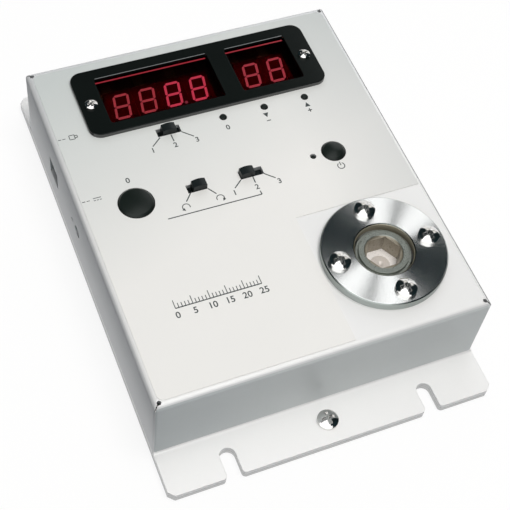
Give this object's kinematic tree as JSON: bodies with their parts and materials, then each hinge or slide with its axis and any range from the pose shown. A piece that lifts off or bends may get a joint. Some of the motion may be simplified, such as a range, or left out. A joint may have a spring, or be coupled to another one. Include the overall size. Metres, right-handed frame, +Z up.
{
  "type": "torque tester",
  "caption": "Bench torque tester: folded metal case with slotted foot flanges, red number display, push buttons, slide switches and a hex drive socket in a steel disc",
  "frame": {"origin": "centre of the underside of the base plate", "axes": "+X right, +Y back, +Z up, seen from the operator at the front foot"},
  "size_m": [0.15, 0.222, 0.0521],
  "materials": {
    "cover": "satin",
    "base_plate": "satin",
    "flange_screws": "polished",
    "panel_overlay": "satin",
    "display_bezel": "polished",
    "bezel_screws": "polished",
    "red_filter": "polished",
    "torque_digits": "matte",
    "torque_bars": "matte",
    "time_digits": "matte",
    "time_bars": "matte",
    "spare_points": "matte",
    "front_board": "satin",
    "panel_posts": "satin",
    "panel_screws": "satin",
    "clear_spring": "satin",
    "clear_switch": "matte",
    "power_spring": "satin",
    "power_switch": "matte",
    "tact_switches": "matte",
    "unit_switch": "matte",
    "direction_switch": "matte",
    "mode_switch": "matte",
    "socket_disc": "polished",
    "disc_screws": "polished",
    "torque_socket": "satin",
    "transducer_housing": "satin",
    "transducer_screws": "satin",
    "strain_gauges": "satin",
    "gauge_cable": "satin",
    "gauge_connector": "satin",
    "main_board": "satin",
    "main_posts": "satin",
    "board_screws": "satin",
    "base_screws": "satin",
    "board_header": "matte",
    "board_chips": "matte",
    "usb_port": "satin",
    "dc_jack": "matte",
    "charge_lamp": "polished",
    "battery_tray": "satin",
    "battery_cells": "satin",
    "battery_cable": "satin",
    "battery_connector": "satin",
    "clear_button": "satin",
    "power_button": "satin",
    "clear_time_button": "satin",
    "count_down_button": "satin",
    "count_up_button": "satin",
    "reset_button": "satin",
    "unit_knob": "satin",
    "direction_knob": "satin",
    "mode_knob": "satin"
  },
  "bodies": {
    "case": {"cover": "cover", "base_plate": "base_plate", "flange_screws": "flange_screws", "panel_overlay": "panel_overlay", "display_bezel": "display_bezel", "bezel_screws": "bezel_screws", "red_filter": "red_filter", "torque_digits": "torque_digits", "torque_bars": "torque_bars", "time_digits": "time_digits", "time_bars": "time_bars", "spare_points": "spare_points", "front_board": "front_board", "panel_posts": "panel_posts", "panel_screws": "panel_screws", "clear_spring": "clear_spring", "clear_switch": "clear_switch", "power_spring": "power_spring", "power_switch": "power_switch", "tact_switches": "tact_switches", "unit_switch": "unit_switch", "direction_switch": "direction_switch", "mode_switch": "mode_switch", "socket_disc": "socket_disc", "disc_screws": "disc_screws", "torque_socket": "torque_socket", "transducer_housing": "transducer_housing", "transducer_screws": "transducer_screws", "strain_gauges": "strain_gauges", "gauge_cable": "gauge_cable", "gauge_connector": "gauge_connector", "main_board": "main_board", "main_posts": "main_posts", "board_screws": "board_screws", "base_screws": "base_screws", "board_header": "board_header", "board_chips": "board_chips", "usb_port": "usb_port", "dc_jack": "dc_jack", "charge_lamp": "charge_lamp", "battery_tray": "battery_tray", "battery_cells": "battery_cells", "battery_cable": "battery_cable", "battery_connector": "battery_connector"},
    "clear_button": {"clear_button": "clear_button"},
    "power_button": {"power_button": "power_button"},
    "clear_time_button": {"clear_time_button": "clear_time_button"},
    "count_down_button": {"count_down_button": "count_down_button"},
    "count_up_button": {"count_up_button": "count_up_button"},
    "reset_button": {"reset_button": "reset_button"},
    "unit_knob": {"unit_knob": "unit_knob"},
    "direction_knob": {"direction_knob": "direction_knob"},
    "mode_knob": {"mode_knob": "mode_knob"}
  },
  "joints": [
    {"name": "clear_button_press", "type": "slide", "parent": "case", "child": "clear_button", "axis": [0, 0, -1], "range_m": [0, 0.0015], "stiffness_N_per_m": 900, "springref_m": -0.00075, "deforming": ["clear_spring"]},
    {"name": "power_button_press", "type": "slide", "parent": "case", "child": "power_button", "axis": [0, 0, -1], "range_m": [0, 0.0015], "stiffness_N_per_m": 900, "springref_m": -0.00075, "deforming": ["power_spring"]},
    {"name": "clear_time_button_press", "type": "slide", "parent": "case", "child": "clear_time_button", "axis": [0, 0, -1], "range_m": [0, 0.0005], "stiffness_N_per_m": 1500, "springref_m": -0.00025},
    {"name": "count_down_button_press", "type": "slide", "parent": "case", "child": "count_down_button", "axis": [0, 0, -1], "range_m": [0, 0.0005], "stiffness_N_per_m": 1500, "springref_m": -0.00025},
    {"name": "count_up_button_press", "type": "slide", "parent": "case", "child": "count_up_button", "axis": [0, 0, -1], "range_m": [0, 0.0005], "stiffness_N_per_m": 1500, "springref_m": -0.00025},
    {"name": "reset_button_press", "type": "slide", "parent": "case", "child": "reset_button", "axis": [0, 0, -1], "range_m": [0, 0.0005], "stiffness_N_per_m": 1500, "springref_m": -0.00025},
    {"name": "unit_knob_slide", "type": "slide", "parent": "case", "child": "unit_knob", "axis": [1, 0, 0], "range_m": [-0.0021, 0.0021]},
    {"name": "direction_knob_slide", "type": "slide", "parent": "case", "child": "direction_knob", "axis": [1, 0, 0], "range_m": [-0.0021, 0]},
    {"name": "mode_knob_slide", "type": "slide", "parent": "case", "child": "mode_knob", "axis": [1, 0, 0], "range_m": [0, 0.0042]}
  ]
}
